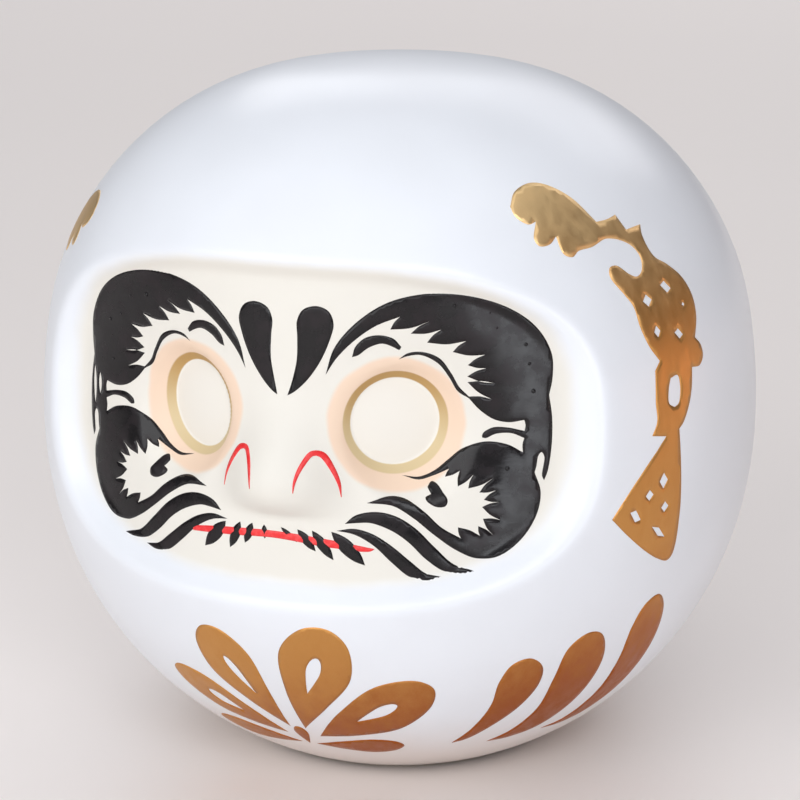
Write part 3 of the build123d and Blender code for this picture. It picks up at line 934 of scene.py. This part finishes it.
def pimple_tree():
    """Geometry nodes that scatter small flattened domes on the surface they are given."""
    tree = bpy.data.node_groups.new("lacquer_pimples", "GeometryNodeTree")
    kinds = {
        "Surface": "NodeSocketGeometry",
        "Count per Area": "NodeSocketFloat",
        "Spacing": "NodeSocketFloat",
        "Smallest": "NodeSocketFloat",
        "Largest": "NodeSocketFloat",
        "Seed": "NodeSocketInt",
        "Paint": "NodeSocketMaterial",
    }
    for name, kind in kinds.items():
        tree.interface.new_socket(name, in_out="INPUT", socket_type=kind)
    tree.interface.new_socket("Pimples", in_out="OUTPUT", socket_type="NodeSocketGeometry")
    given = tree.nodes.new("NodeGroupInput").outputs

    def node(kind, settings, sockets):
        made = tree.nodes.new(kind)
        for name, value in settings.items():
            setattr(made, name, value)
        for name, value in sockets.items():
            if isinstance(value, bpy.types.NodeSocket):
                tree.links.new(value, made.inputs[name])
            else:
                made.inputs[name].default_value = value
        return made.outputs

    fit = node("GeometryNodeInputNamedAttribute", {"data_type": "FLOAT"}, {"Name": "pimple_fit"})
    scatter = {
        "Mesh": given["Surface"],
        "Distance Min": given["Spacing"],
        "Density Max": given["Count per Area"],
        "Density Factor": fit["Attribute"],
        "Seed": given["Seed"],
    }
    spots = node("GeometryNodeDistributePointsOnFaces", {"distribute_method": "POISSON"}, scatter)
    round_bead = {"Segments": PIMPLE_SEGMENTS, "Rings": PIMPLE_RINGS, "Radius": 1.0}
    bead = node("GeometryNodeMeshUVSphere", {}, round_bead)
    flattened = {"Geometry": bead["Mesh"], "Scale": (1.0, 1.0, PIMPLE_FLATNESS)}
    flat_bead = node("GeometryNodeTransform", {}, flattened)
    random = {2: given["Smallest"], 3: given["Largest"], "Seed": given["Seed"]}
    size = node("FunctionNodeRandomValue", {"data_type": "FLOAT"}, random)
    placed = {
        "Points": spots["Points"],
        "Instance": flat_bead["Geometry"],
        "Rotation": spots["Rotation"],
        "Scale": size[1],
    }
    beads = node("GeometryNodeInstanceOnPoints", {}, placed)
    real = node("GeometryNodeRealizeInstances", {}, {"Geometry": beads["Instances"]})
    smooth = node("GeometryNodeSetShadeSmooth", {}, {"Geometry": real["Geometry"]})
    lacquered = {"Geometry": smooth["Geometry"], "Material": given["Paint"]}
    painted = node("GeometryNodeSetMaterial", {}, lacquered)
    out = tree.nodes.new("NodeGroupOutput")
    tree.links.new(painted["Geometry"], out.inputs["Pimples"])
    return tree


def pimples_on(bed, name, seed):
    holder = bpy.data.objects.new(name + "_bed", bed.data)
    bpy.context.scene.collection.objects.link(holder)
    modifier = holder.modifiers.new("pimples", "NODES")
    modifier.node_group = lacquer_pimples
    values = {
        "Count per Area": PIMPLES_PER_SQUARE_MM / MM**2,
        "Spacing": PIMPLE_SPACING * MM,
        "Smallest": PIMPLE_SMALLEST * MM,
        "Largest": PIMPLE_LARGEST * MM,
        "Seed": seed,
        "Paint": black.material,
    }
    for socket in lacquer_pimples.interface.items_tree:
        if socket.name in values and socket.in_out == "INPUT":
            modifier[socket.identifier] = values[socket.name]
    evaluated = holder.evaluated_get(bpy.context.evaluated_depsgraph_get())
    made = bpy.data.objects.new(name, bpy.data.meshes.new_from_object(evaluated))
    bpy.data.objects.remove(holder)
    bpy.context.scene.collection.objects.link(made)
    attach(made, "root")


lacquer_pimples = pimple_tree()
pimples_on(left_brow, "left_pimples", LEFT_SEED)
pimples_on(right_brow, "right_pimples", RIGHT_SEED)

# ---------------------------------------------------------------------------------------------------
# Studio. A pale floor, one large soft light in front and two overhead, a window and a low panel at
# the doll's left that show in the gloss, a weak panel at its right, a warm strip low down, and the
# camera, turned to the doll's left. The lamps themselves stay out of sight.

FLOOR_PALE = (0.94, 0.89, 0.86, 1)
FLOOR_SHADE = (0.91, 0.86, 0.83, 1)
FLOOR_TONE_SIZE, FLOOR_HALF_SIDE = 400.0, 3000.0
FRONT_WHITE = (0.98, 0.99, 1.0)
PANEL_WHITE = (0.96, 0.97, 1.0)
REAR_WHITE = (0.97, 0.97, 1.0)
WINDOW_WHITE = (0.94, 0.96, 1.0)
LOW_WHITE = (0.90, 0.94, 1.0)
WARM = (1.0, 0.5, 0.32)
AIR_COLOUR, AIR_STRENGTH = (0.98, 0.95, 0.97, 1), 0.2

floor_paint = Paint("studio_floor", Roughness=0.6)
floor_tone = floor_paint.noise(FLOOR_TONE_SIZE, detail=2)
floor_paint.feed(Base_Color=floor_paint.blend(floor_tone, FLOOR_PALE, FLOOR_SHADE))
floor_signs = np.array([(-1.0, -1.0, 0.0), (1.0, -1.0, 0.0), (1.0, 1.0, 0.0), (-1.0, 1.0, 0.0)])
floor = mesh_object("floor", floor_signs * FLOOR_HALF_SIDE, [(0, 1, 2, 3)], [floor_paint])


def area_light(name, place, aim, size, power, colour):
    lamp = bpy.data.lights.new(name, "AREA")
    lamp.shape, lamp.size, lamp.size_y = "RECTANGLE", size[0], size[1]
    lamp.energy, lamp.color = power, colour
    holder = bpy.data.objects.new(name, lamp)
    holder.location = place
    holder.rotation_euler = (Vector(aim) - Vector(place)).to_track_quat("-Z", "Y").to_euler()
    holder.visible_camera = False
    bpy.context.scene.collection.objects.link(holder)


doll_middle = (0, 0, BELLY_HEIGHT * MM)
back_floor, doll_cheek, doll_foot = (-0.3, 1.3, 0.0), (0, 0, 0.077), (0.0, 0.0, 0.03)
area_light("soft_front", (-0.3, -1.2, 0.52), doll_middle, size=(1.3, 0.8), power=7.9, colour=FRONT_WHITE)
area_light("overhead", (-0.2, -0.3, 2.5), doll_middle, size=(3.0, 3.0), power=25, colour=PANEL_WHITE)
area_light("rear_overhead", (-0.3, 2.0, 1.4), back_floor, size=(2.6, 1.2), power=17, colour=REAR_WHITE)
area_light("right_window", (0.5, -0.85, 0.62), doll_middle, size=(0.4, 0.5), power=2.7, colour=WINDOW_WHITE)
area_light("low_panel", (0.30, -0.335, 0.03), doll_cheek, size=(0.17, 0.05), power=0.13, colour=LOW_WHITE)
area_light("left_panel", (-0.7, -0.7, 0.35), doll_middle, size=(0.4, 0.4), power=0.45, colour=PANEL_WHITE)
area_light("warm_edge", (0.7, 0.25, 0.03), doll_foot, size=(0.5, 0.06), power=0.2, colour=WARM)

world = bpy.data.worlds.new("studio_air")
world.use_nodes = True
air = world.node_tree.nodes["Background"].inputs
air["Color"].default_value, air["Strength"].default_value = AIR_COLOUR, AIR_STRENGTH
bpy.context.scene.world = world
bpy.context.scene.view_settings.view_transform = "Standard"

CAMERA_TURN, CAMERA_RISE = math.radians(20.0), math.radians(15.0)
CAMERA_DISTANCE = 0.467
CAMERA_LENS, SENSOR_WIDTH = 122.8, 36.0
level = math.cos(CAMERA_RISE)
back = Vector((math.sin(CAMERA_TURN) * level, -math.cos(CAMERA_TURN) * level, math.sin(CAMERA_RISE)))
camera = bpy.data.objects.new("camera", bpy.data.cameras.new("camera"))
camera.data.lens, camera.data.sensor_width = CAMERA_LENS, SENSOR_WIDTH
camera.location = Vector(doll_middle) + back * CAMERA_DISTANCE
camera.rotation_euler = (-back).to_track_quat("-Z", "Y").to_euler()
bpy.context.scene.collection.objects.link(camera)
bpy.context.scene.camera = camera
